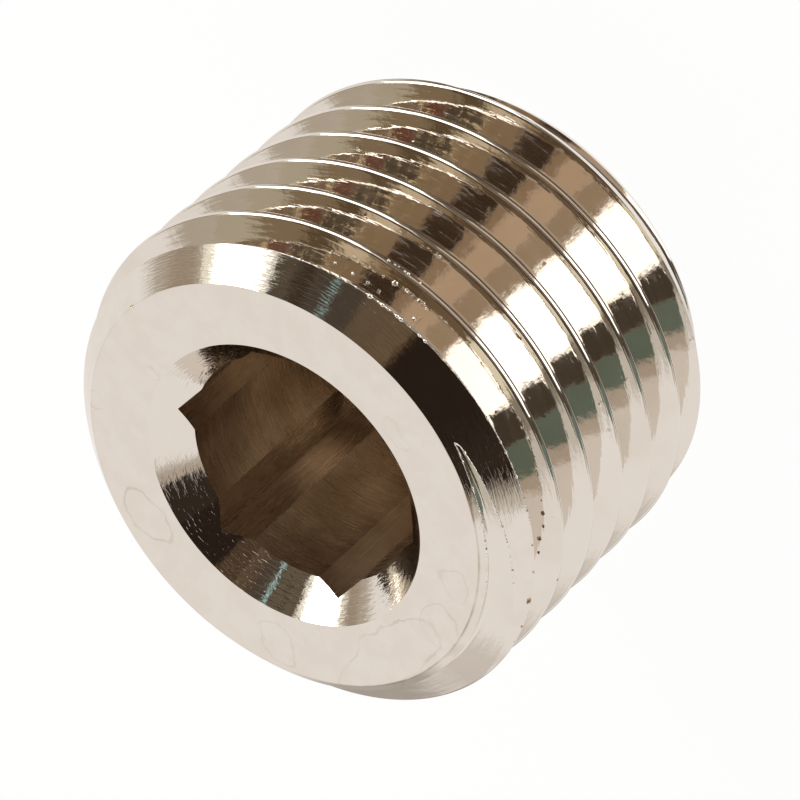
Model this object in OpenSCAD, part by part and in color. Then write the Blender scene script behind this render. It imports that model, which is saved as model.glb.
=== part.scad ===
// Tapered pipe plug, thread size R 1/4, driven by a broached hexagon socket.
// One turned and plated brass piece. It stands on its small end, the axis is Z,
// the origin is the centre of the small end, and the socket opens upwards.

/* [Thread] */
// Distance from one crest to the next along the axis (19 threads to the inch)
pitch = 1.337; // [1:0.001:1.7]
// Diameter over the crests in the gauge plane
gauge_d = 13.157; // [12.6:0.001:15]
// Height of the gauge plane above the small end
gauge_height = 6; // [2:0.1:8]
// Growth of the diameter for each millimetre of height (1 in 16)
taper = 0.0625; // [0:0.0005:0.08]
// Angle between the two flanks of a groove
flank_angle = 55; // [50:1:62]
// Radius of the rounded crest
crest_round = 0.12; // [0.04:0.01:0.18]
// Radius of the rounded root
root_round = 0.21; // [0.04:0.01:0.24]
// Bearing at which the crest line leaves through the socket face
thread_bearing = 84; // [0:1:360]

/* [Body] */
// Length of the plug along its axis
length = 9.7; // [9:0.1:14]
// Chamfer at the socket face, measured across the radius
face_chamfer = 1.05; // [0.4:0.01:1.2]
// Slope of that chamfer, measured from the axis
face_chamfer_angle = 48; // [30:1:60]
// Chamfer at the small end, measured across the radius
end_chamfer = 0.89; // [0.4:0.01:1.2]
// Slope of that chamfer, measured from the axis
end_chamfer_angle = 38; // [30:1:60]

/* [Socket] */
// Width of the hexagon across its flats
hex_width = 6; // [4:0.1:7]
// Depth to which the hexagon is broached
hex_depth = 6.2; // [3.5:0.1:6.6]
// How much wider than the flats the drilled pilot hole is
pilot_oversize = 0.3; // [0:0.01:0.6]
// How far the full width of the pilot hole goes on below the hexagon
pilot_extra = 0.4; // [0:0.1:0.6]
// Point angle of the drill that made the pilot hole
drill_angle = 118; // [110:1:160]
// Width of the countersink cone round the pilot hole, across the radius
countersink_width = 0.8; // [0.2:0.01:1]
// Included angle of the countersink
countersink_angle = 90; // [60:1:120]
// Bearing of one corner of the hexagon
hex_bearing = 30; // [0:1:60]

/* [Fineness] */
// Straight steps in one turn of the thread
thread_steps = 60; // [24:4:72]
// Straight steps across each rounded crest
crest_steps = 4; // [2:2:6]
// Straight steps across each rounded root
root_steps = 2; // [1:1:4]

/* [Hidden] */

// A cut runs this far past the surface that it opens through
overrun = 1;

// Rounded V groove: arcs tangent to both flanks close the sharp triangle at the
// crest and at the root, and take the same share of their radius off its height.
half_flank = flank_angle / 2;
sharp_height = pitch / (2 * tan(half_flank));
corner_share = 1 / sin(half_flank) - 1;
thread_depth = sharp_height - (crest_round + root_round) * corner_share;
arc_sweep = 90 - half_flank;

// The rod runs at least one pitch past both ends of the body
first_crest = thread_bearing / 360 * pitch;
turns_below = floor((length - first_crest) / pitch) + 2;
turns = turns_below + 2;
rod_bottom = length - first_crest - turns_below * pitch;

// Half the diameter over the crests, at height z
function crest_radius(z) = (gauge_d + (z - gauge_height) * taper) / 2;

// One pitch of the thread form as [height, depth below the crest], crest first
function rounding(radius, a) = [radius * sin(a), radius * (1 - cos(a))];
thread_form = concat(
    [for (i = [0 : crest_steps / 2]) rounding(crest_round, arc_sweep * 2 * i / crest_steps)],
    [for (i = [0 : root_steps])
        let (p = rounding(root_round, arc_sweep * (1 - 2 * i / root_steps)))
        [pitch / 2 - p[0], thread_depth - p[1]]],
    [for (i = [crest_steps / 2 : -1 : 1])
        let (p = rounding(crest_round, arc_sweep * 2 * i / crest_steps))
        [pitch - p[0], p[1]]]);
form_count = len(thread_form);

// A point of the helical surface: step k along the helix, point j of the form
function helix_point(k, j) =
    let (z = rod_bottom + pitch * k / thread_steps + thread_form[j][0],
         r = crest_radius(z) - thread_form[j][1],
         a = 360 * k / thread_steps)
    [r * cos(a), r * sin(a), z];

// Number of that point, where the form's end is its own start one turn on
function point_number(k, j) =
    j < form_count ? k * form_count + j : (k + thread_steps) * form_count;

// Long tapered rod with the full thread, closed by a cone at each end
module threaded_rod() {
    last = (turns - 1) * thread_steps;
    surface_points = [for (k = [0 : last + thread_steps]) for (j = [0 : form_count - 1])
        helix_point(k, j)];
    bottom_centre = len(surface_points);
    top_centre = bottom_centre + 1;
    bottom_edge = concat(
        [for (k = [0 : thread_steps]) point_number(k, 0)],
        [for (j = [form_count - 1 : -1 : 1]) point_number(0, j)]);
    top_edge = concat(
        [for (k = [last : last + thread_steps]) point_number(k, 0)],
        [for (j = [form_count - 1 : -1 : 1]) point_number(last, j)]);
    edge_count = len(bottom_edge);
    flanks = [for (k = [0 : last - 1]) for (j = [0 : form_count - 1])
        for (half = [0, 1])
        half == 0
            ? [point_number(k, j), point_number(k, j + 1), point_number(k + 1, j)]
            : [point_number(k, j + 1), point_number(k + 1, j + 1), point_number(k + 1, j)]];
    bottom_cap = [for (i = [0 : edge_count - 1])
        [bottom_centre, bottom_edge[i], bottom_edge[(i + 1) % edge_count]]];
    top_cap = [for (i = [0 : edge_count - 1])
        [top_centre, top_edge[(i + 1) % edge_count], top_edge[i]]];
    polyhedron(
        points = concat(surface_points,
            [[0, 0, rod_bottom + pitch / 2],
             [0, 0, rod_bottom + pitch * (turns - 0.5)]]),
        faces = concat(flanks, bottom_cap, top_cap),
        convexity = 10);
}

// Turned outline without the thread: the two end faces with their chamfers
module turned_envelope() {
    face_r = crest_radius(length) - face_chamfer;
    end_r = crest_radius(0) - end_chamfer;
    past = crest_radius(length) + overrun;
    rotate_extrude($fn = 180)
        polygon([
            [0, 0],
            [end_r, 0],
            [past, (past - end_r) / tan(end_chamfer_angle)],
            [past, length - (past - face_r) / tan(face_chamfer_angle)],
            [face_r, length],
            [0, length]]);
}

// Countersink, drilled pilot hole with its pointed bottom, and broached hexagon
module socket() {
    pilot_r = (hex_width + pilot_oversize) / 2;
    pilot_depth = hex_depth + pilot_extra;
    sink_slope = tan(countersink_angle / 2);
    sink_r = pilot_r + countersink_width;
    translate([0, 0, length]) {
        rotate_extrude($fn = 120)
            polygon([
                [0, -pilot_depth - pilot_r / tan(drill_angle / 2)],
                [pilot_r, -pilot_depth],
                [pilot_r, -countersink_width / sink_slope],
                [sink_r + overrun * sink_slope, overrun],
                [0, overrun]]);
        rotate([0, 0, hex_bearing])
            translate([0, 0, -hex_depth])
                cylinder(r = hex_width / sqrt(3), h = hex_depth + overrun, $fn = 6);
    }
}

// The whole plug, turned, threaded, drilled and broached in one piece
module plug_body() {
    color("gainsboro")
        difference() {
            intersection() {
                threaded_rod();
                turned_envelope();
            }
            socket();
        }
}

plug_body();
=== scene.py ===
"""Tapered pipe plug with a hexagon socket: bright plate over turned brass, in a plain white studio.

The plug stands on its small end at the frame's origin, with its axis on Z. Its mesh is built in millimetres,
from spun profiles and a helical rod that are cut against each other, and is then brought to metres.
"""

import logging
import math
from dataclasses import dataclass, field
from enum import IntEnum

import bmesh
import bpy
from mathutils import Matrix, Vector, noise


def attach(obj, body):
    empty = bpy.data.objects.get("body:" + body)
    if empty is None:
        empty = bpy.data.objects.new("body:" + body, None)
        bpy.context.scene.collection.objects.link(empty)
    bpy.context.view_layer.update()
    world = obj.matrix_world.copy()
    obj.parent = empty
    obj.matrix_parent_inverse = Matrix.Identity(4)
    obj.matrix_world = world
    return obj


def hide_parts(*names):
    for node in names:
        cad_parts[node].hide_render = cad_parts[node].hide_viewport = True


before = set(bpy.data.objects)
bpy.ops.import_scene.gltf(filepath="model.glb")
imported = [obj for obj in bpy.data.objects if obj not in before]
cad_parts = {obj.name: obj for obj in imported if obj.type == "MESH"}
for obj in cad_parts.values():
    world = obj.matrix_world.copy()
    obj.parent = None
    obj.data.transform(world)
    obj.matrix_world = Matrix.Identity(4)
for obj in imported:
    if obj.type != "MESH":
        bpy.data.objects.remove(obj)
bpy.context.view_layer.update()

LOG = logging.getLogger("pipe_plug")
MM = 0.001
BODY = "root"
NODE = "plug_body"
MERGE = 1e-3
LEVEL = (1.0, 1.0, 0.0)
WHITE = (1.0, 1.0, 1.0, 1.0)
Z_AXIS = Vector((0.0, 0.0, 1.0))
ORIGIN = Vector((0.0, 0.0, 0.0))


def linked(name: str, data: bpy.types.ID) -> bpy.types.Object:
    """Makes an object that shows some data and links it to the scene.

    Args:
        name: Name of the object.
        data: Its mesh, curve or camera.

    Returns:
        The object, at the origin.
    """
    obj = bpy.data.objects.new(name, data)
    bpy.context.scene.collection.objects.link(obj)
    return obj


class Region(IntEnum):
    """Which tool cut a face of the plug. The value is also the face's material index."""

    THREAD = 0
    TURNED = 1
    BORED = 2
    BROACHED = 3
    BARE = 4
    SUNK = 5
    LIP = 6


class NodeTree:
    """Adds and joins the nodes of one material, world or group."""

    def __init__(self, tree: bpy.types.NodeTree) -> None:
        """Starts on a tree with its default nodes taken out."""
        self.tree = tree
        self.tree.nodes.clear()

    def add(self, kind: str, inputs: dict | None = None, **settings: object) -> bpy.types.Node:
        """Adds a node.

        Args:
            kind: Blender's name for the node.
            inputs: Value or output socket for each input, by the input's name or number.
            settings: Properties of the node.

        Returns:
            The node.
        """
        node = self.tree.nodes.new(kind)
        for name, value in settings.items():
            setattr(node, name, value)
        for name, value in (inputs or {}).items():
            if isinstance(value, bpy.types.NodeSocket):
                self.tree.links.new(value, node.inputs[name])
            else:
                node.inputs[name].default_value = value
        return node

    def math(self, operation: str, *values: object) -> bpy.types.NodeSocket:
        """Adds a Math node on numbers or sockets and returns its output."""
        return self.add("ShaderNodeMath", dict(enumerate(values)), operation=operation).outputs[0]

    def vector(self, operation: str, *values: object) -> bpy.types.NodeSocket:
        """Adds a Vector Math node.

        Args:
            operation: Name of the operation.
            values: Vectors or sockets, in the order of the node's inputs.

        Returns:
            The output socket, a number for a length or a dot product and a vector otherwise.
        """
        node = self.add("ShaderNodeVectorMath", dict(enumerate(values)), operation=operation)
        return node.outputs["Value" if operation in ("LENGTH", "DOT_PRODUCT") else "Vector"]

    def ramp(self, value: object, low: object, high: object, start: object = 0.0,
             end: object = 1.0) -> bpy.types.NodeSocket:
        """Adds a smooth step of a value.

        Args:
            value: Number or socket that is mapped.
            low: Value at which the step starts.
            high: Value at which it ends.
            start: Result at and below low.
            end: Result at and above high.

        Returns:
            The result's socket.
        """
        inputs = {"Value": value, "From Min": low, "From Max": high, "To Min": start, "To Max": end}
        node = self.add("ShaderNodeMapRange", inputs, interpolation_type="SMOOTHSTEP")
        return node.outputs["Result"]

    def noise(self, vector: bpy.types.NodeSocket, scale: object, detail: float = 2.0,
              roughness: float = 0.5) -> bpy.types.NodeSocket:
        """Adds a noise texture and returns its value."""
        inputs = {"Vector": vector, "Scale": scale, "Detail": detail, "Roughness": roughness}
        return self.add("ShaderNodeTexNoise", inputs).outputs["Fac"]

    def mix(self, share: object, first: object, second: object) -> bpy.types.NodeSocket:
        """Adds a colour mix.

        Args:
            share: Number or socket, 0 for all of the first colour and 1 for all of the second.
            first: First colour or its socket.
            second: Second colour or its socket.

        Returns:
            The mixed colour's socket.
        """
        node = self.add("ShaderNodeMix", data_type="RGBA")
        for number, value in ((0, share), (6, first), (7, second)):
            if isinstance(value, bpy.types.NodeSocket):
                self.tree.links.new(value, node.inputs[number])
            else:
                node.inputs[number].default_value = value
        return node.outputs[2]


def make_group(name: str, inputs: dict, outputs: dict) -> tuple:
    """Makes an empty shader node group.

    Args:
        name: Name of the group.
        inputs: Default value of each input by name, a number for a value and three numbers for a vector.
        outputs: Socket type of each output by name.

    Returns:
        The group's NodeTree helper, its input node and its output node.
    """
    group = bpy.data.node_groups.new(name, "ShaderNodeTree")
    for label, value in inputs.items():
        kind = "NodeSocketFloat" if isinstance(value, float) else "NodeSocketVector"
        socket = group.interface.new_socket(label, in_out="INPUT", socket_type=kind)
        socket.default_value = value
    for label, kind in outputs.items():
        group.interface.new_socket(label, in_out="OUTPUT", socket_type=kind)
    nodes = NodeTree(group)
    return nodes, nodes.add("NodeGroupInput"), nodes.add("NodeGroupOutput")


def turned_marks() -> bpy.types.NodeTree:
    """Makes the group for marks that run round the axis: streaks of noise, drawn out along the turning.

    Returns:
        The group, whose mask is 1 on a streak.
    """
    inputs = {"Around": 8.0, "Across": 4000.0, "Lean": -1.0, "Detail": 2.0, "Low": 0.4, "High": 0.6}
    nodes, given, result = make_group("turned_marks", inputs, {"Mask": "NodeSocketFloat"})
    place = nodes.add("ShaderNodeTexCoord").outputs["Object"]
    part = nodes.add("ShaderNodeSeparateXYZ", {"Vector": place})
    flat = nodes.vector("MULTIPLY", place, LEVEL)
    radius = nodes.vector("LENGTH", flat)
    outward = nodes.vector("NORMALIZE", flat)
    around = nodes.add("ShaderNodeVectorMath", {0: outward, "Scale": given.outputs["Around"]},
                       operation="SCALE")
    slant = nodes.math("MULTIPLY_ADD", part.outputs["Z"], given.outputs["Lean"], radius)
    along = nodes.math("MULTIPLY", slant, given.outputs["Across"])
    rise = nodes.add("ShaderNodeCombineXYZ", {"Z": along})
    drawn_out = nodes.vector("ADD", around.outputs[0], rise.outputs[0])
    streaks = nodes.noise(drawn_out, 1.0, given.outputs["Detail"])
    mask = nodes.ramp(streaks, given.outputs["Low"], given.outputs["High"])
    nodes.tree.links.new(mask, result.inputs["Mask"])
    return nodes.tree


def drop_ring() -> bpy.types.NodeTree:
    """Makes the group for the rim that one dried drop left: a thin ring with an uneven outline.

    Returns:
        The group, whose mask is 1 on the rim.
    """
    bend_scale = 1100.0
    bend_reach = 0.0008
    gap_scale = 1500.0
    inputs = {"Centre": (0.0, 0.0, 0.0), "Turned Size": (1.0, 1.0, 1.0), "Line": 0.06}
    nodes, given, result = make_group("drop_ring", inputs, {"Mask": "NodeSocketFloat"})
    place = nodes.add("ShaderNodeTexCoord").outputs["Object"]
    bend = nodes.add("ShaderNodeTexNoise", {"Vector": place, "Scale": bend_scale, "Detail": 3.0})
    offset = nodes.vector("SUBTRACT", bend.outputs["Color"], (0.5,) * 3)
    moved = nodes.vector("MULTIPLY_ADD", offset, (bend_reach,) * 3, place)
    local = nodes.vector("SUBTRACT", moved, given.outputs["Centre"])
    scaled = nodes.vector("DIVIDE", local, given.outputs["Turned Size"])
    off_rim = nodes.math("ABSOLUTE", nodes.math("SUBTRACT", nodes.vector("LENGTH", scaled), 1.0))
    rim = nodes.ramp(off_rim, 0.0, given.outputs["Line"], 1.0, 0.0)
    strength = nodes.ramp(nodes.noise(place, gap_scale), 0.3, 0.62, 0.25, 1.0)
    nodes.tree.links.new(nodes.math("MULTIPLY", rim, strength), result.inputs["Mask"])
    return nodes.tree


def plate_nodules() -> bpy.types.NodeTree:
    """Makes the group for the small smooth lumps that thick plate grows in a groove.

    Returns:
        The group, whose mask is 1 on top of a lump.
    """
    inputs = {"Scale": 1500.0, "Size": 0.16, "Spread": 600.0}
    nodes, given, result = make_group("plate_nodules", inputs, {"Mask": "NodeSocketFloat"})
    place = nodes.add("ShaderNodeTexCoord").outputs["Object"]
    cells = nodes.add("ShaderNodeTexVoronoi", {"Vector": place, "Scale": given.outputs["Scale"]})
    lump = nodes.ramp(cells.outputs["Distance"], 0.0, given.outputs["Size"], 1.0, 0.0)
    some = nodes.ramp(nodes.noise(place, given.outputs["Spread"]), 0.5, 0.6)
    nodes.tree.links.new(nodes.math("MULTIPLY", lump, some), result.inputs["Mask"])
    return nodes.tree


@dataclass(frozen=True)
class Drop:
    """Where a dried drop left its rim on the socket face, in millimetres from the axis."""

    x: float
    y: float
    across: float
    along: float
    tint: float


@dataclass(frozen=True)
class PlateFinish:
    """Bright plate over turned brass, as one tool left the surface below it. Depths are in metres."""

    name: str
    colour: tuple = (0.80, 0.745, 0.69, 1.0)
    # Colour of the stains, and on the socket face also of the painted shade along the rim
    tarnish_and_shade: tuple = (0.45, 0.35, 0.26, 1.0)
    low_gloss: float = 0.07
    high_gloss: float = 0.03
    around: float = 6.0
    across: float = 9000.0
    lean: float = -1.0
    mark_depth: float = 0.0
    wave_scale: float = 2200.0
    wave_depth: float = 0.0
    lump_depth: float = 0.0
    patches: float = 0.1
    patch_scale: float = 450.0
    height: float = 0.0
    rim: float = 0.0
    rim_line: float = 4.4e-5
    rim_gaps: float = 900.0
    rim_shade_side: tuple = (-0.93, -0.36, 0.0)
    drops: tuple = ()
    drop_line: float = 0.05

    def painted_rim_shade(self, nodes: NodeTree, place: bpy.types.NodeSocket) -> bpy.types.NodeSocket:
        """Adds a thin line of painted shade along the rim of the socket face, stronger on one side.

        Args:
            nodes: The material's nodes.
            place: Object coordinates.

        Returns:
            The line's strength.
        """
        radius = nodes.vector("LENGTH", nodes.vector("MULTIPLY", place, LEVEL))
        off_rim = nodes.math("ABSOLUTE", nodes.math("SUBTRACT", radius, self.rim * MM))
        line = nodes.ramp(off_rim, 0.0, self.rim_line, 1.0, 0.0)
        broken = nodes.ramp(nodes.noise(place, self.rim_gaps, 3.0), 0.36, 0.6, 0.35, 1.0)
        side = nodes.vector("DOT_PRODUCT", place, self.rim_shade_side)
        # Painted shade: the rim line is darker on one side of the face
        shaded_side_share = nodes.ramp(side, MM, 5 * MM, 0.15, 1.0)
        return nodes.math("MULTIPLY", line, nodes.math("MULTIPLY", broken, shaded_side_share))

    def make(self, marks: bpy.types.NodeTree, rings: bpy.types.NodeTree,
             nodules: bpy.types.NodeTree) -> bpy.types.Material:
        """Builds the material.

        Args:
            marks: The group for marks round the axis.
            rings: The group for a dried drop.
            nodules: The group for lumps in the plate.

        Returns:
            The material.
        """
        material = bpy.data.materials.new(self.name)
        material.use_nodes = True
        nodes = NodeTree(material.node_tree)
        place = nodes.add("ShaderNodeTexCoord").outputs["Object"]
        turning = nodes.add("ShaderNodeGroup", {}, node_tree=marks)
        turning.inputs["Around"].default_value = self.around
        turning.inputs["Across"].default_value = self.across
        turning.inputs["Lean"].default_value = self.lean
        streaks = turning.outputs["Mask"]
        stain_and_shade = nodes.ramp(nodes.noise(place, self.patch_scale, 4.0), 0.36, 0.64, 0.0, self.patches)
        if self.rim:
            # Adds painted shade along the face rim to the real stains
            stain_and_shade = nodes.math("ADD", stain_and_shade, self.painted_rim_shade(nodes, place))
        for drop in self.drops:
            ring = nodes.add("ShaderNodeGroup", {}, node_tree=rings)
            ring.inputs["Centre"].default_value = (drop.x * MM, drop.y * MM, self.height * MM)
            ring.inputs["Turned Size"].default_value = (drop.across * MM, drop.along * MM, 1.0)
            ring.inputs["Line"].default_value = self.drop_line / min(drop.across, drop.along)
            stain_and_shade = nodes.math("MULTIPLY_ADD", ring.outputs["Mask"], drop.tint, stain_and_shade)
        colour = nodes.mix(stain_and_shade, self.colour, self.tarnish_and_shade)
        gloss = nodes.ramp(streaks, 0.0, 1.0, self.high_gloss, self.low_gloss)
        height = nodes.math("MULTIPLY", nodes.noise(place, self.wave_scale, 3.0), self.wave_depth)
        height = nodes.math("MULTIPLY_ADD", streaks, self.mark_depth, height)
        if self.lump_depth:
            lumps = nodes.add("ShaderNodeGroup", {}, node_tree=nodules)
            height = nodes.math("MULTIPLY_ADD", lumps.outputs["Mask"], self.lump_depth, height)
        bump = nodes.add("ShaderNodeBump", {"Strength": 1.0, "Distance": 1.0, "Height": height})
        shader = nodes.add("ShaderNodeBsdfPrincipled", {
            "Base Color": colour, "Metallic": 1.0, "Roughness": gloss, "Normal": bump.outputs["Normal"]})
        nodes.add("ShaderNodeOutputMaterial", {"Surface": shader.outputs["BSDF"]})
        return material


def finishes(height: float, rim: float) -> list:
    """Builds the plate's materials in the order of Region.

    Args:
        height: Height of the socket face, in millimetres.
        rim: Radius of the socket face's rim, in millimetres.

    Returns:
        One material for each region.
    """
    marks, rings, nodules = turned_marks(), drop_ring(), plate_nodules()
    drops = (
        Drop(1.42, 4.6, 0.80, 0.55, 0.32),
        Drop(-2.9, 3.95, 0.70, 0.45, 0.19),
        Drop(-4.85, 1.2, 0.72, 2.1, 0.32),
        Drop(-4.95, -1.0, 0.6, 0.6, 0.19),
        Drop(-4.4, -2.5, 0.45, 0.40, 0.14),
        Drop(4.1, 1.05, 0.22, 0.20, 0.14),
        Drop(4.45, 3.3, 0.30, 0.25, 0.22),
        Drop(-0.7, -4.4, 0.50, 0.22, 0.09),
    )
    wall = {
        "colour": (0.80, 0.70, 0.595, 1.0), "tarnish_and_shade": (0.46, 0.37, 0.28, 1.0), "low_gloss": 0.30,
        "high_gloss": 0.27, "wave_scale": 450.0, "wave_depth": 4e-5, "patches": 1.0, "patch_scale": 330.0,
    }
    plates = [
        PlateFinish("plated_thread", around=5.0, across=4500.0, mark_depth=9e-7, wave_depth=5e-6,
                    lump_depth=4e-6, patches=0.12),
        PlateFinish("plated_turned", around=14.0, across=15000.0, mark_depth=6e-7, wave_scale=4500.0,
                    wave_depth=1.5e-6, patches=0.08, patch_scale=1800.0, height=height, rim=rim,
                    drops=drops),
        PlateFinish("plated_bored", around=2.0, across=15000.0, mark_depth=2.5e-7, **wall),
        PlateFinish("plated_broached", around=50.0, across=100.0, mark_depth=4e-7, **wall),
        PlateFinish("bare_brass", (0.86, 0.72, 0.55, 1.0), (0.55, 0.40, 0.27, 1.0), low_gloss=0.6,
                    high_gloss=0.45, wave_scale=9000.0, wave_depth=4e-6, patches=1.0, patch_scale=5000.0),
        PlateFinish("plated_sunk", around=11.0, across=10000.0, lean=0.6, mark_depth=9e-7,
                    wave_scale=4500.0, wave_depth=2.2e-6, patches=0.04),
        # The lip's light colour is a painted highlight, so that the lip and its beads read as bright glints
        PlateFinish("plated_lip_painted_highlight", (0.93, 0.90, 0.86, 1.0), low_gloss=0.26, high_gloss=0.18,
                    wave_scale=9000.0, wave_depth=2e-6, patches=0.2, patch_scale=4000.0),
    ]
    return [plate.make(marks, rings, nodules) for plate in plates]


@dataclass(frozen=True)
class Card:
    """A soft-edged rectangle of light or shade on the surround, in degrees round and above the plug.

    A flecked card is only there in small ragged patches.
    """

    start: float
    end: float
    bottom: float
    top: float
    colour: tuple
    blur: float = 3.0
    flecked: bool = False


@dataclass(frozen=True)
class Studio:
    """White floor and surround, with soft lights and dark flags that show only in reflections."""

    surround: tuple = (0.92, 0.893, 0.857, 1.0)
    floor_size: float = 4.0
    shade: float = 0.1
    floor_light: float = 1.05
    floor_colour: tuple = (0.9, 0.9, 0.9, 1.0)
    fleck_scale: float = 16.0
    fleck_edges: tuple = (0.56, 0.62)
    cards: tuple = (
        Card(-210, 150, 64, 120, (0.165, 0.107, 0.058), 12.0),
        Card(-46, -18, 70, 84, (0.105, 0.068, 0.035), 8.0),
        Card(-176, 24, 43, 70, (0.115, 0.076, 0.040), 4.0),
        Card(22, 50, 40, 66, (0.47, 0.41, 0.305), 6.0),
        Card(14, 27, 44, 62, (0.24, 0.175, 0.105), 5.0),
        Card(-17, -7, 69, 80, (0.27, 0.19, 0.105), 4.0),
        Card(-9, 6, 63, 73, (0.62, 0.50, 0.335), 5.0),
        Card(-190, -172, 58, 76, (0.27, 0.235, 0.185), 5.0),
        Card(-172, -129, 70, 83, (0.86, 0.78, 0.58), 5.0),
        Card(-44, 14, -9, 29, (3.0, 2.95, 2.8), 3.0),
        Card(16, 46, 12, 42, (0.50, 0.445, 0.36), 5.0),
        Card(22, 40, 17, 24, (0.38, 0.31, 0.23), 3.0),
        Card(-146, -50, 8, 40, (0.15, 0.11, 0.075), 4.0),
        Card(-158, -146, 34, 43.5, (0.50, 0.43, 0.36), 6.0),
        Card(-167, -156, 38, 44, (0.60, 0.55, 0.48), 5.0),
        Card(-162, -154, 42.5, 50, (0.20, 0.17, 0.14), 4.0),
        Card(-156.5, -74, 42.8, 66, (0.024, 0.016, 0.011), 4.0),
        Card(-149, -118, 40.5, 50, (0.036, 0.027, 0.019), 3.0),
        Card(-76, -46, 44, 66, (0.080, 0.050, 0.030), 4.0),
        Card(-74, -44, 51, 66, (0.15, 0.105, 0.062), 3.0),
        Card(-58, -44, 47, 66, (0.135, 0.098, 0.060), 3.0),
        Card(-48, -10, 30, 44, (0.145, 0.116, 0.082), 3.0),
        Card(-46, 10, 43, 60, (0.078, 0.060, 0.044), 3.0),
        Card(-22, -7, 40.5, 60, (0.055, 0.038, 0.026), 2.0),
        Card(-14, -5.5, 37.5, 60, (0.10, 0.08, 0.055), 1.5),
        Card(-34, -31.5, 40, 48, (0.40, 0.60, 0.60), 1.5),
        Card(-10, 22, 22.5, 36.5, (1.0, 0.97, 0.82), 1.5),
        Card(-4.5, 22, 33, 41, (1.0, 0.97, 0.82), 1.5),
        Card(-5, 17, 24.5, 36.5, (6.0, 5.9, 5.6), 2.0),
        Card(165, 178, 50, 66, (0.64, 0.60, 0.53), 8.0),
        Card(120, 140, 6, 24, (0.70, 0.66, 0.61), 8.0),
        Card(98, 128, -50, 8, (0.47, 0.43, 0.39), 12.0),
        Card(-190, 60, -120, -42, (0.10, 0.075, 0.05), 6.0),
        Card(-166, -152, -32, 8, (0.60, 0.54, 0.46), 5.0),
        Card(-158, -142, -42, 33, (0.165, 0.215, 0.175), 4.0),
        Card(-143, -127, -42, 38, (0.085, 0.068, 0.050), 2.5),
        Card(-131, -95, -22, 8, (2.6, 2.55, 2.45), 3.0),
        Card(-127, -93, -42, -21, (2.5, 2.45, 2.3), 4.0),
        Card(-94, -62, -22, 8, (0.60, 0.51, 0.41), 5.0),
        Card(-92, -78, -42, -21, (0.46, 0.36, 0.25), 4.0),
        Card(-79, -65, -42, -21, (0.66, 0.51, 0.36), 4.0),
        Card(-66, -59, -42, -21, (0.38, 0.275, 0.175), 4.0),
        Card(-61, -41, -22, 8, (0.185, 0.140, 0.100), 4.0),
        Card(-60, -41, -42, -22, (0.065, 0.043, 0.027), 3.0),
        Card(-43, -23, -42, -16, (0.32, 0.235, 0.145), 4.0),
        Card(-25, -9, -42, -10, (0.110, 0.085, 0.060), 3.0),
        Card(-10, 1, -42, -6, (0.18, 0.085, 0.058), 3.0),
        Card(0, 15, -42, -1, (0.25, 0.185, 0.13), 4.0),
        Card(-36, 22, -40, -3, (0.84, 0.70, 0.43), 6.0, True),
    )

    def card_group(self) -> bpy.types.NodeTree:
        """Makes the group that tells where one card is.

        Returns:
            The group, whose mask is 1 inside the card and fades over its edge.
        """
        inputs = {"Direction": (0.0,) * 3, "Middle": (0.0,) * 3, "Inside": (0.0,) * 3, "Outside": (1.0,) * 3}
        nodes, given, result = make_group("studio_card", inputs, {"Mask": "NodeSocketFloat"})
        offset = nodes.vector("SUBTRACT", given.outputs["Direction"], given.outputs["Middle"])
        away = nodes.vector("ABSOLUTE", nodes.vector("WRAP", offset, (180.0,) * 3, (-180.0,) * 3))
        edges = nodes.add("ShaderNodeMapRange", data_type="FLOAT_VECTOR", interpolation_type="SMOOTHSTEP")
        sockets = {socket.identifier: socket for socket in edges.inputs}
        nodes.tree.links.new(away, sockets["Vector"])
        nodes.tree.links.new(given.outputs["Inside"], sockets["From_Min_FLOAT3"])
        nodes.tree.links.new(given.outputs["Outside"], sockets["From_Max_FLOAT3"])
        sockets["To_Min_FLOAT3"].default_value = (1.0,) * 3
        sockets["To_Max_FLOAT3"].default_value = (0.0,) * 3
        part = nodes.add("ShaderNodeSeparateXYZ", {"Vector": edges.outputs["Vector"]}).outputs
        nodes.tree.links.new(nodes.math("MULTIPLY", part["X"], part["Y"]), result.inputs["Mask"])
        return nodes.tree

    def light(self) -> None:
        """Builds the world: plain white for the camera, the surround with its cards for all else."""
        world = bpy.data.worlds.new("studio")
        world.use_nodes = True
        bpy.context.scene.world = world
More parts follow.
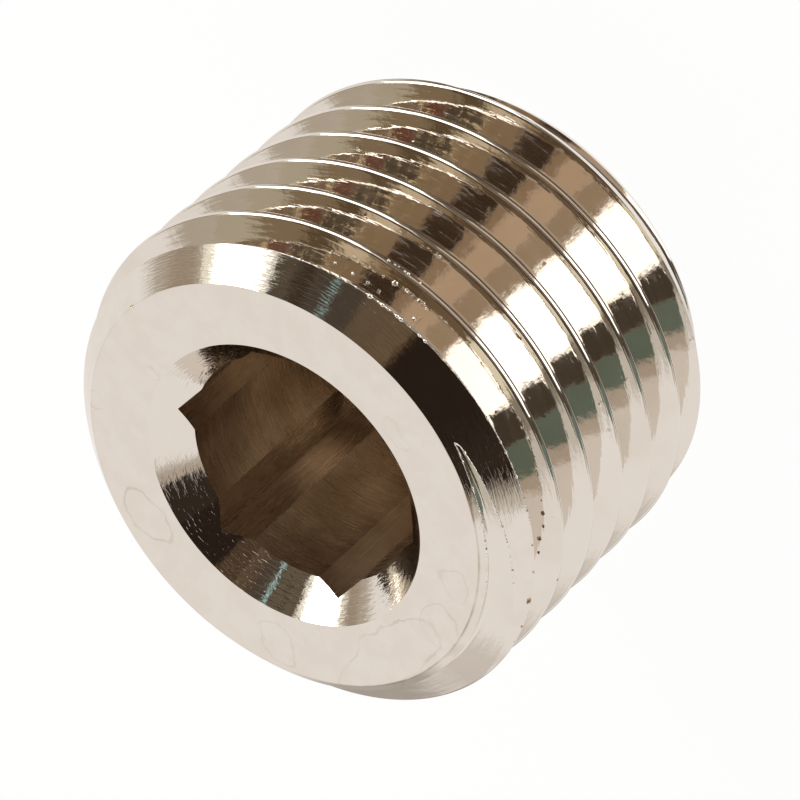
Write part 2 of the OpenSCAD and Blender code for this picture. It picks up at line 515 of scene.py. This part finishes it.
        # The plate is nearly a mirror, so looking for bright parts of the surround would only cost time
        world.cycles.sampling_method = "NONE"
        nodes = NodeTree(world.node_tree)
        way = nodes.add("ShaderNodeTexCoord").outputs["Generated"]
        part = nodes.add("ShaderNodeSeparateXYZ", {"Vector": way}).outputs
        bearing = nodes.math("DEGREES", nodes.math("ARCTAN2", part["Y"], part["X"]))
        rise = nodes.math("DEGREES", nodes.math("ARCSINE", part["Z"]))
        direction = nodes.add("ShaderNodeCombineXYZ", {"X": bearing, "Y": rise}).outputs[0]
        group = self.card_group()
        flecks = nodes.ramp(nodes.noise(way, self.fleck_scale, 3.0, 0.6), *self.fleck_edges)
        colour = self.surround
        for card in self.cards:
            inside = nodes.add("ShaderNodeGroup", {}, node_tree=group)
            nodes.tree.links.new(direction, inside.inputs["Direction"])
            reach = ((card.end - card.start) / 2, (card.top - card.bottom) / 2)
            soft = card.blur / 2
            for name, value in (
                    ("Middle", ((card.start + card.end) / 2, (card.bottom + card.top) / 2, 0.0)),
                    ("Inside", (reach[0] - soft, reach[1] - soft, 0.0)),
                    ("Outside", (reach[0] + soft, reach[1] + soft, 1.0))):
                inside.inputs[name].default_value = value
            share = inside.outputs["Mask"]
            if card.flecked:
                share = nodes.math("MULTIPLY", share, flecks)
            colour = nodes.mix(share, colour, (*card.colour, 1.0))
        seen = nodes.add("ShaderNodeBackground", {"Color": WHITE, "Strength": 1.0})
        cast = nodes.add("ShaderNodeBackground", {"Color": colour, "Strength": 1.0})
        direct = nodes.add("ShaderNodeLightPath").outputs["Is Camera Ray"]
        both = nodes.add("ShaderNodeMixShader", {0: direct, 1: cast.outputs[0], 2: seen.outputs[0]})
        nodes.add("ShaderNodeOutputWorld", {"Surface": both.outputs[0]})

    def floor(self) -> None:
        """Adds the white floor, which keeps a faint shadow and stays out of the plug's reflections."""
        bm = bmesh.new()
        bmesh.ops.create_grid(bm, x_segments=1, y_segments=1, size=self.floor_size / 2)
        mesh = bpy.data.meshes.new("floor")
        bm.to_mesh(mesh)
        bm.free()
        floor = linked("floor", mesh)
        floor.visible_glossy = False
        material = bpy.data.materials.new("floor")
        material.use_nodes = True
        nodes = NodeTree(material.node_tree)
        white = nodes.add("ShaderNodeEmission", {"Color": WHITE, "Strength": self.floor_light})
        matt = nodes.add("ShaderNodeBsdfDiffuse", {"Color": self.floor_colour})
        direct = nodes.add("ShaderNodeLightPath").outputs["Is Camera Ray"]
        share = nodes.math("MULTIPLY", direct, 1.0 - self.shade)
        both = nodes.add("ShaderNodeMixShader", {0: share, 1: matt.outputs[0], 2: white.outputs[0]})
        nodes.add("ShaderNodeOutputMaterial", {"Surface": both.outputs[0]})
        mesh.materials.append(material)


@dataclass(frozen=True)
class ThreadForm:
    """A rounded V thread on a cone, in millimetres and degrees."""

    pitch: float = 1.337
    gauge_radius: float = 13.157 / 2
    gauge_height: float = 6.0
    taper: float = 0.0625
    flank_angle: float = 55.0
    crest_round: float = 0.12
    root_round: float = 0.21
    bearing: float = 84.0

    @property
    def half_flank(self) -> float:
        """Half the angle between two flanks, in radians."""
        return math.radians(self.flank_angle / 2)

    @property
    def depth(self) -> float:
        """Depth from the top of the crest to the bottom of the root.

        Returns:
            The depth, in millimetres.
        """
        sharp = self.pitch / (2 * math.tan(self.half_flank))
        corner_share = 1 / math.sin(self.half_flank) - 1
        return sharp - (self.crest_round + self.root_round) * corner_share

    def crest_radius(self, height: float) -> float:
        """Radius over the crests at a height above the small end."""
        return self.gauge_radius + (height - self.gauge_height) * self.taper / 2

    def lean(self, offset: float) -> float:
        """Slope of the form at an axial distance from its crest.

        Args:
            offset: Distance along the axis from the nearest crest, positive above it.

        Returns:
            The surface normal's angle above the radial direction, in radians.
        """
        away = abs(offset)
        to_root = self.pitch / 2 - away
        reach = math.cos(self.half_flank)
        if away < self.crest_round * reach:
            angle = math.asin(away / self.crest_round)
        elif to_root < self.root_round * reach:
            angle = math.asin(max(to_root, 0.0) / self.root_round)
        else:
            angle = math.pi / 2 - self.half_flank
        return math.copysign(angle, offset)

    def normal(self, point: Vector, length: float) -> Vector:
        """Outward normal of the helical surface.

        Args:
            point: A point on the surface, in millimetres.
            length: Height of the face at which the crest line has the form's bearing.

        Returns:
            The unit normal.
        """
        bearing = math.atan2(point.y, point.x)
        turn = (math.degrees(bearing) - self.bearing) / 360
        share = ((point.z - length) / self.pitch - turn + 0.5) % 1.0 - 0.5
        rise = math.tan(self.lean(share * self.pitch))
        outward = Vector((math.cos(bearing), math.sin(bearing), 0.0))
        around = Vector((-outward.y, outward.x, 0.0))
        lead = self.pitch / (2 * math.pi * math.hypot(point.x, point.y))
        return (outward - around * rise * lead + Z_AXIS * (rise - self.taper / 2)).normalized()


def spun_arc(bm: bmesh.types.BMesh, start: Vector, centre: Vector, angle: float, steps: int) -> list:
    """Spins a vertex into an arc in the plane Y = 0.

    Args:
        bm: Mesh that takes the arc.
        start: First point of the arc.
        centre: Centre of the arc.
        angle: Sweep in radians, positive from +X towards +Z.
        steps: Number of edges.

    Returns:
        The arc's vertices, first to last.
    """
    first = bm.verts.new(start)
    bmesh.ops.spin(bm, geom=[first], cent=centre, axis=(0, -1, 0), angle=angle, steps=steps)
    bm.verts.ensure_lookup_table()
    return [first] + list(bm.verts)[-steps:]


def chain(bm: bmesh.types.BMesh, points: list) -> list:
    """Joins points with edges in the plane Y = 0.

    Args:
        bm: Mesh that takes the chain.
        points: Radius and height of each point.

    Returns:
        The vertices, first to last.
    """
    verts = [bm.verts.new((r, 0.0, z)) for r, z in points]
    for a, b in zip(verts, verts[1:]):
        bm.edges.new((a, b))
    return verts


def revolve(bm: bmesh.types.BMesh, steps: int) -> None:
    """Spins a wire round the Z axis into a closed solid.

    Args:
        bm: Mesh that holds nothing but the wire.
        steps: Number of steps in the turn.
    """
    wire = list(bm.verts) + list(bm.edges)
    bmesh.ops.spin(bm, geom=wire, cent=ORIGIN, axis=Z_AXIS, angle=2 * math.pi, steps=steps, use_merge=True)
    bmesh.ops.remove_doubles(bm, verts=bm.verts, dist=MERGE)
    face_outwards(bm)


def face_outwards(bm: bmesh.types.BMesh) -> None:
    """Turns the faces of a closed mesh outwards, judged by the sign of its volume.

    Args:
        bm: The mesh.
    """
    bmesh.ops.recalc_face_normals(bm, faces=bm.faces)
    if bm.calc_volume(signed=True) < 0:
        bmesh.ops.reverse_faces(bm, faces=bm.faces)


def new_object(name: str, bm: bmesh.types.BMesh, region: Region) -> bpy.types.Object:
    """Writes a finished bmesh to a new object whose faces all carry one region.

    Args:
        name: Name of the object and its mesh.
        bm: The mesh, which is freed.
        region: Region written to each face.

    Returns:
        The linked object.
    """
    for face in bm.faces:
        face.material_index = region
    mesh = bpy.data.meshes.new(name)
    bm.to_mesh(mesh)
    bm.free()
    for _ in Region:
        mesh.materials.append(None)
    return linked(name, mesh)


@dataclass(frozen=True)
class Bite:
    """A small bite out of the crest, in degrees round the axis and millimetres."""

    bearing: float
    height: float
    radius: float
    size: float
    stretch: float = 1.5


@dataclass(frozen=True)
class EdgeNicks:
    """Shallow bites along the first crests, where knocks have broken the plate down to the brass."""

    bites: tuple = (
        Bite(-136.4, 8.85, 6.660, 0.054, 1.4),
        Bite(-140.9, 8.84, 6.650, 0.034, 2.2),
        Bite(-143.4, 8.84, 6.660, 0.052, 1.6),
        Bite(-147.5, 8.85, 6.650, 0.032),
        Bite(-151.6, 8.84, 6.665, 0.086, 1.3),
        Bite(-153.0, 8.85, 6.650, 0.040, 1.2),
        Bite(-159.6, 8.83, 6.660, 0.042, 1.6),
        Bite(-164.7, 8.83, 6.655, 0.034, 1.8),
        Bite(-131.3, 7.80, 6.260, 0.030, 2.0),
        Bite(-134.8, 7.80, 6.255, 0.048, 1.8),
        Bite(-138.4, 7.80, 6.240, 0.032, 2.2),
        Bite(-142.0, 7.85, 6.155, 0.056, 1.5),
        Bite(-146.2, 7.82, 6.145, 0.034, 1.8),
        Bite(-153.8, 7.50, 6.640, 0.036, 1.8),
        Bite(0.4, 9.70, 5.680, 0.052),
        Bite(-3.4, 9.20, 6.260, 0.036),
    )
    roughness: float = 0.45
    lumps: float = 1.9

    def cutter(self) -> bpy.types.Object:
        """Makes the space of all the bites, each an uneven little ball drawn out along the crest.

        Returns:
            One object that holds all the balls.
        """
        bm = bmesh.new()
        for bite in self.bites:
            turn = Matrix.Rotation(math.radians(bite.bearing), 4, "Z")
            place = Matrix.Translation((bite.radius, 0.0, bite.height))
            ball = bmesh.ops.create_icosphere(bm, subdivisions=3, radius=bite.size)["verts"]
            for vert in ball:
                spot = vert.co * (self.lumps / bite.size) + Vector((bite.bearing, bite.height, 0.0))
                swell = noise.noise(spot)
                vert.co *= 1.0 + self.roughness * swell
            stretch = Matrix.Diagonal((1.0, bite.stretch, 1.0, 1.0))
            bmesh.ops.transform(bm, matrix=turn @ place @ stretch, verts=ball)
        return new_object("nicks", bm, Region.BARE)


@dataclass(frozen=True)
class Bead:
    """A round drop of plate on the lip or on a crest, in degrees round the axis and millimetres."""

    bearing: float
    size: float
    height: float = 0.0
    radius: float = 0.0


@dataclass(frozen=True)
class RunOutBurr:
    """Ragged lip along the edge where the thread runs out through the face chamfer, in millimetres."""

    core: float = 0.014
    bead: float = 0.030
    step: float = 0.025
    bead_pitch: float = 0.16
    raggedness: float = 0.6
    finer: float = 5.0
    bead_start: float = 0.22
    bead_rise: float = 4.0
    bead_roughness: float = 0.35
    bead_lumps: float = 1.5
    shortest: int = 8
    lowest: float = 5.0
    widest: float = 6.64
    outer: float = 6.3
    first: float = -150.0
    last: float = -34.0
    edge_beads: tuple = (
        Bead(-52.0, 0.030),
        Bead(-55.5, 0.036),
        Bead(-58.5, 0.032),
        Bead(-61.0, 0.044),
        Bead(-63.0, 0.038),
        Bead(-65.5, 0.034),
        Bead(-69.0, 0.078),
        Bead(-72.3, 0.062),
        Bead(-74.0, 0.040),
        Bead(-76.2, 0.058),
        Bead(-77.3, 0.066),
        Bead(-82.5, 0.044),
        Bead(-84.2, 0.052),
        Bead(-111.0, 0.036),
        Bead(-113.5, 0.042),
        Bead(-116.8, 0.028),
        Bead(-119.5, 0.040),
        Bead(-125.0, 0.026),
    )
    crest_beads: tuple = (
        Bead(-66.5, 0.050, 7.805, 6.620),
        Bead(-68.1, 0.034, 7.800, 6.625),
        Bead(-69.0, 0.024, 7.790, 6.630),
        Bead(-70.6, 0.036, 7.792, 6.622),
        Bead(-71.5, 0.050, 7.780, 6.618),
        Bead(-74.6, 0.026, 7.775, 6.628),
        Bead(-58.0, 0.040, 8.640, 6.470),
        Bead(-62.5, 0.046, 8.610, 6.430),
        Bead(-66.3, 0.042, 8.580, 6.410),
        Bead(-79.0, 0.048, 8.560, 6.400),
    )

    def edge_chains(self, mesh: bpy.types.Mesh) -> list:
        """Follows the edges between the thread and the turned faces.

        Args:
            mesh: The finished plug, in metres.

        Returns:
            A list of chains, each a list of points in order.
        """
        bm = bmesh.new()
        bm.from_mesh(mesh)
        wanted = {Region.THREAD, Region.TURNED}
        joined: dict = {}
        for edge in bm.edges:
            regions = {face.material_index for face in edge.link_faces}
            if regions == wanted and min(vert.co.z for vert in edge.verts) > self.lowest * MM:
                first, second = edge.verts
                joined.setdefault(first.index, []).append(second.index)
                joined.setdefault(second.index, []).append(first.index)
        bm.verts.ensure_lookup_table()
        places = {number: bm.verts[number].co.copy() for number in joined}
        bm.free()
        chains = []
        ends = sorted(joined, key=lambda number: (len(joined[number]) != 1, number))
        for start in ends:
            chain_points = [start]
            while joined[chain_points[-1]]:
                here = chain_points[-1]
                nearby = joined[here].pop()
                joined[nearby].remove(here)
                chain_points.append(nearby)
            if len(chain_points) > 2:
                chains.append([places[number] for number in chain_points])
        return chains

    def raised_runs(self, mesh: bpy.types.Mesh) -> list:
        """Keeps the stretches of the edge chains on the side where the tool left a lip.

        Args:
            mesh: The finished plug, in metres.

        Returns:
            A list of runs, each a list of neighbouring points in millimetres.
        """
        runs = []
        for points in self.edge_chains(mesh):
            run: list = []
            for point in points:
                if self.first < math.degrees(math.atan2(point.y, point.x)) < self.last:
                    run.append(point / MM)
                elif run:
                    runs.append(run)
                    run = []
            if run:
                runs.append(run)
        return runs

    def radius_at(self, point: Vector) -> float:
        """Gives the lip's radius: a thin ragged thread with a bead here and there.

        Args:
            point: Place on the edge, in millimetres.

        Returns:
            The radius, in millimetres.
        """
        ragged = self.core * (1.0 + self.raggedness * noise.noise(point * (self.finer / self.bead_pitch)))
        swell = noise.noise(point * (1.0 / self.bead_pitch) + Vector((3.1, 7.7, 1.3)))
        share = min(1.0, max(0.0, (swell - self.bead_start) * self.bead_rise))
        radius = ragged + (self.bead - self.core) * share
        reach = math.hypot(point.x, point.y)
        turn = math.atan2(point.y, point.x)
        for bead in self.edge_beads:
            off = (turn - math.radians(bead.bearing)) * reach
            if reach > self.outer and abs(off) < bead.size:
                radius = max(radius, math.sqrt(bead.size ** 2 - off ** 2))
        return radius

    def add_crest_beads(self, mesh: bpy.types.Mesh) -> None:
        """Sets the beads that stand apart from the lip, each an uneven little ball.

        Args:
            mesh: The lip's mesh, in metres, which takes the beads.
        """
        bm = bmesh.new()
        bm.from_mesh(mesh)
        for bead in self.crest_beads:
            turn = math.radians(bead.bearing)
            centre = Vector((bead.radius * math.cos(turn), bead.radius * math.sin(turn), bead.height))
            ball = bmesh.ops.create_icosphere(bm, subdivisions=3, radius=bead.size)["verts"]
            for vert in ball:
                swell = noise.noise(vert.co * (self.bead_lumps / bead.size) + centre * 3.0)
                vert.co *= 1.0 + self.bead_roughness * swell
                vert.co = (vert.co + centre) * MM
        bm.to_mesh(mesh)
        bm.free()

    def build(self, plug: bpy.types.Object) -> bpy.types.Object:
        """Lays the lip along the edge.

        Args:
            plug: The finished plug.

        Returns:
            The lip as an object with one mesh, in metres.
        """
        data = bpy.data.curves.new("burr", "CURVE")
        data.dimensions = "3D"
        data.bevel_depth = MM
        data.bevel_resolution = 1
        data.use_fill_caps = True
        for points in self.raised_runs(plug.data):
            laid = points[:1]
            for point in points[1:]:
                while (point - laid[-1]).length > self.step:
                    laid.append(laid[-1] + (point - laid[-1]).normalized() * self.step)
            if len(laid) < self.shortest:
                continue
            spline = data.splines.new("POLY")
            spline.points.add(len(laid) - 1)
            for knot, point in zip(spline.points, laid):
                radius = self.radius_at(point)
                reach = math.hypot(point.x, point.y)
                inward = min(1.0, (self.widest - radius) / reach)
                knot.co = (point.x * inward * MM, point.y * inward * MM, point.z * MM, 1.0)
                knot.radius = radius
        curve = linked("burr_path", data)
        graph = bpy.context.evaluated_depsgraph_get()
        mesh = bpy.data.meshes.new_from_object(curve.evaluated_get(graph))
        bpy.data.objects.remove(curve)
        mesh.name = "burr"
        self.add_crest_beads(mesh)
        for face in mesh.polygons:
            face.use_smooth = True
        return linked("burr", mesh)


@dataclass
class PlugBody:
    """The plug: a threaded rod, turned to length with a chamfer at each end, drilled and broached."""

    thread: ThreadForm = field(default_factory=ThreadForm)
    nicks: EdgeNicks = field(default_factory=EdgeNicks)
    length: float = 9.7
    face_chamfer: float = 1.05
    face_chamfer_angle: float = 48.0
    end_chamfer: float = 0.89
    end_chamfer_angle: float = 38.0
    hex_width: float = 6.0
    hex_depth: float = 6.2
    pilot_oversize: float = 0.3
    pilot_extra: float = 0.4
    drill_angle: float = 118.0
    countersink_width: float = 0.8
    countersink_angle: float = 90.0
    hex_bearing: float = 30.0
    turn_steps: int = 288
    crest_steps: int = 8
    root_steps: int = 6
    flank_cuts: int = 2
    rim_steps: int = 360
    overrun: float = 1.0
    smooth_angle: float = 20.0

    @property
    def face_radius(self) -> float:
        """Radius of the socket face, inside its chamfer."""
        return self.thread.crest_radius(self.length) - self.face_chamfer

    def rod(self) -> bpy.types.Object:
        """Makes the long tapered rod with the full thread, closed at both ends.

        Returns:
            The rod, in millimetres.
        """
        form = self.thread
        bm = bmesh.new()
        first_crest = form.bearing / 360 * form.pitch
        turns_below = math.floor((self.length - first_crest) / form.pitch) + 2
        turns = turns_below + 2
        bottom = self.length - first_crest - turns_below * form.pitch
        sweep = math.pi / 2 - form.half_flank
        inner = -form.depth + form.root_round
        crest_centre = Vector((-form.crest_round, 0.0, bottom))
        root_centre = Vector((inner, 0.0, bottom + form.pitch / 2))
        tangent = Vector((math.cos(sweep), 0.0, -math.sin(sweep)))
        start = crest_centre + tangent * form.crest_round
        crest = spun_arc(bm, start, crest_centre, 2 * sweep, self.crest_steps)
        tangent = Vector((-math.cos(sweep), 0.0, -math.sin(sweep)))
        start = root_centre + tangent * form.root_round
        root = spun_arc(bm, start, root_centre, -2 * sweep, self.root_steps)
        last = bm.verts.new(crest[0].co + Z_AXIS * form.pitch)
        flanks = [bm.edges.new((crest[-1], root[0])), bm.edges.new((root[-1], last))]
        bmesh.ops.subdivide_edges(bm, edges=flanks, cuts=self.flank_cuts)
        bmesh.ops.translate(bm, verts=bm.verts, vec=(form.gauge_radius, 0.0, 0.0))
        bmesh.ops.spin(bm, geom=list(bm.verts) + list(bm.edges), cent=ORIGIN, axis=Z_AXIS,
                       dvec=(0.0, 0.0, form.pitch / self.turn_steps), angle=2 * math.pi,
                       steps=self.turn_steps)
        one_turn = list(bm.verts) + list(bm.edges) + list(bm.faces)
        for turn in range(1, turns):
            copied = bmesh.ops.duplicate(bm, geom=one_turn)["geom"]
            moved = [part for part in copied if isinstance(part, bmesh.types.BMVert)]
            bmesh.ops.translate(bm, verts=moved, vec=(0.0, 0.0, form.pitch * turn))
        bmesh.ops.remove_doubles(bm, verts=bm.verts, dist=MERGE)
        for vert in bm.verts:
            radius = math.hypot(vert.co.x, vert.co.y)
            grown = radius + (vert.co.z - form.gauge_height) * form.taper / 2
            vert.co.xy *= grown / radius
        rims = [edge for edge in bm.edges if edge.is_boundary]
        caps = bmesh.ops.edgeloop_fill(bm, edges=rims)["faces"]
        bmesh.ops.poke(bm, faces=caps)
        face_outwards(bm)
        return new_object("rod", bm, Region.THREAD)

    def envelope(self) -> bpy.types.Object:
        """Makes the turned outline: the two end faces and their chamfers.

        Returns:
            The outline as a solid, in millimetres.
        """
        face_r = self.face_radius
        end_r = self.thread.crest_radius(0.0) - self.end_chamfer
        past = self.thread.crest_radius(self.length) + self.overrun
        bm = bmesh.new()
        chain(bm, [
            (0.0, 0.0),
            (end_r, 0.0),
            (past, (past - end_r) / math.tan(math.radians(self.end_chamfer_angle))),
            (past, self.length - (past - face_r) / math.tan(math.radians(self.face_chamfer_angle))),
            (face_r, self.length),
            (0.0, self.length),
        ])
        revolve(bm, self.rim_steps)
        return new_object("envelope", bm, Region.TURNED)

    def bore(self) -> bpy.types.Object:
        """Makes the space of the countersink and of the pilot hole with its pointed bottom.

        Returns:
            The space as a solid, in millimetres.
        """
        pilot_r = (self.hex_width + self.pilot_oversize) / 2
        pilot_z = self.length - self.hex_depth - self.pilot_extra
        slope = math.tan(math.radians(self.countersink_angle / 2))
        mouth_r = pilot_r + self.countersink_width + self.overrun * slope
        bm = bmesh.new()
        chain(bm, [
            (0.0, pilot_z - pilot_r / math.tan(math.radians(self.drill_angle / 2))),
            (pilot_r, pilot_z),
            (pilot_r, self.length - self.countersink_width / slope),
            (mouth_r, self.length + self.overrun),
            (0.0, self.length + self.overrun),
        ])
        revolve(bm, self.rim_steps)
        bore = new_object("bore", bm, Region.BORED)
        for face in bore.data.polygons:
            if face.center.z > self.length - self.countersink_width / slope:
                face.material_index = Region.SUNK
        return bore

    def hexagon(self) -> bpy.types.Object:
        """Makes the space of the broached hexagon.

        Returns:
            The space as a solid, in millimetres.
        """
        corner = self.hex_width / math.sqrt(3)
        depth = self.hex_depth + self.overrun
        bm = bmesh.new()
        bmesh.ops.create_cone(bm, cap_ends=True, segments=6, radius1=corner, radius2=corner, depth=depth)
        # A six-sided cone has its first corner on Y
        turn = Matrix.Rotation(math.radians(self.hex_bearing - 90.0), 4, "Z")
        place = Matrix.Translation((0.0, 0.0, self.length - self.hex_depth + depth / 2))
        bmesh.ops.transform(bm, matrix=place @ turn, verts=bm.verts)
        return new_object("hexagon", bm, Region.BROACHED)

    def build(self) -> bpy.types.Object:
        """Cuts the plug out of the rod.

        Returns:
            The plug, in metres, with its edges and normals set.
        """
        rod = self.rod()
        cuts = [
            (self.envelope(), "INTERSECT"),
            (self.bore(), "DIFFERENCE"),
            (self.hexagon(), "DIFFERENCE"),
            (self.nicks.cutter(), "DIFFERENCE"),
        ]
        for tool, operation in cuts:
            cut = rod.modifiers.new(tool.name, "BOOLEAN")
            cut.solver = "MANIFOLD"
            cut.operation = operation
            cut.object = tool
        graph = bpy.context.evaluated_depsgraph_get()
        mesh = bpy.data.meshes.new_from_object(rod.evaluated_get(graph))
        for obj in [rod] + [tool for tool, _ in cuts]:
            bpy.data.meshes.remove(obj.data)
        mesh.name = "plug"
        plug = linked("plug", mesh)
        self.set_edges(mesh)
        self.set_normals(mesh)
        mesh.transform(Matrix.Scale(MM, 4))
        return plug

    def set_edges(self, mesh: bpy.types.Mesh) -> None:
        """Welds the cut mesh, and makes each meeting of two cuts or two turned surfaces a sharp edge.

        Args:
            mesh: The plug's mesh, in millimetres.
        """
        bm = bmesh.new()
        bm.from_mesh(mesh)
        bmesh.ops.remove_doubles(bm, verts=bm.verts, dist=MERGE)
        bmesh.ops.dissolve_degenerate(bm, edges=bm.edges, dist=MERGE)
        for face in bm.faces:
            face.smooth = True
        for edge in bm.edges:
            faces = edge.link_faces
            if len(faces) != 2:
                continue
            differ = faces[0].material_index != faces[1].material_index
            bend = faces[0].normal.angle(faces[1].normal, 0.0)
            edge.smooth = not (differ or bend > math.radians(self.smooth_angle))
        bm.to_mesh(mesh)
        bm.free()

    def set_normals(self, mesh: bpy.types.Mesh) -> None:
        """Gives each face corner the normal of the true surface, so that reflections run smoothly.

        On a turned or bored face that is the face's own normal, carried round the axis to the corner. On the
        thread it is the normal of the helical form.

        Args:
            mesh: The plug's mesh, in millimetres.
        """
        normals = [Vector((0.0, 0.0, 0.0))] * len(mesh.loops)
        flat = (Region.BROACHED, Region.BARE)
        for face in mesh.polygons:
            centre = math.atan2(face.center.y, face.center.x)
            for corner in face.loop_indices:
                point = mesh.vertices[mesh.loops[corner].vertex_index].co
                if face.material_index == Region.THREAD:
                    normals[corner] = self.thread.normal(point, self.length)
                elif face.material_index in flat or math.hypot(point.x, point.y) < MERGE:
                    normals[corner] = face.normal.copy()
                else:
                    turn = math.atan2(point.y, point.x) - centre
                    normals[corner] = Matrix.Rotation(turn, 3, "Z") @ face.normal
        mesh.normals_split_custom_set(normals)


@dataclass(frozen=True)
class CameraRig:
    """The photograph's long-lens view, as a look along a direction at a point near the plug's middle."""

    target: tuple = (-0.213, -2.474, 7.253)
    azimuth: float = -86.587
    elevation: float = 40.894
    roll: float = -132.39
    distance: float = 481.0
    lens: float = 900.0
    sensor: float = 36.0

    def place(self) -> bpy.types.Object:
        """Adds the camera and makes it the scene's own.

        Returns:
            The camera.
        """
        data = bpy.data.cameras.new("camera")
        data.lens = self.lens
        data.sensor_width = self.sensor
        data.clip_start = 0.01
        data.clip_end = 10.0
        turn = Matrix.Rotation(math.radians(self.azimuth + 90.0), 4, "Z")
        tilt = Matrix.Rotation(math.radians(90.0 - self.elevation), 4, "X")
        roll = Matrix.Rotation(math.radians(self.roll), 4, "Z")
        back = Matrix.Translation((0.0, 0.0, self.distance * MM))
        camera = linked("camera", data)
        camera.matrix_world = Matrix.Translation(Vector(self.target) * MM) @ turn @ tilt @ back @ roll
        bpy.context.scene.camera = camera
        return camera


def main() -> None:
    """Builds the plug, its finish and the studio, and reports each piece."""
    logging.basicConfig(level=logging.INFO)
    body = PlugBody()
    plug = body.build()
    materials = finishes(body.length, body.face_radius)
    for number, material in enumerate(materials):
        plug.data.materials[number] = material
    burr = RunOutBurr().build(plug)
    burr.data.materials.append(materials[Region.LIP])
    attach(burr, BODY)
    LOG.info("%s: %d faces", burr.name, len(burr.data.polygons))
    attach(plug, BODY)
    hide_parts(NODE)
    LOG.info("%s: %d faces", plug.name, len(plug.data.polygons))
    studio = Studio()
    studio.light()
    studio.floor()
    CameraRig().place()
    bpy.context.scene.view_settings.view_transform = "Standard"


if __name__ == "__main__":
    main()
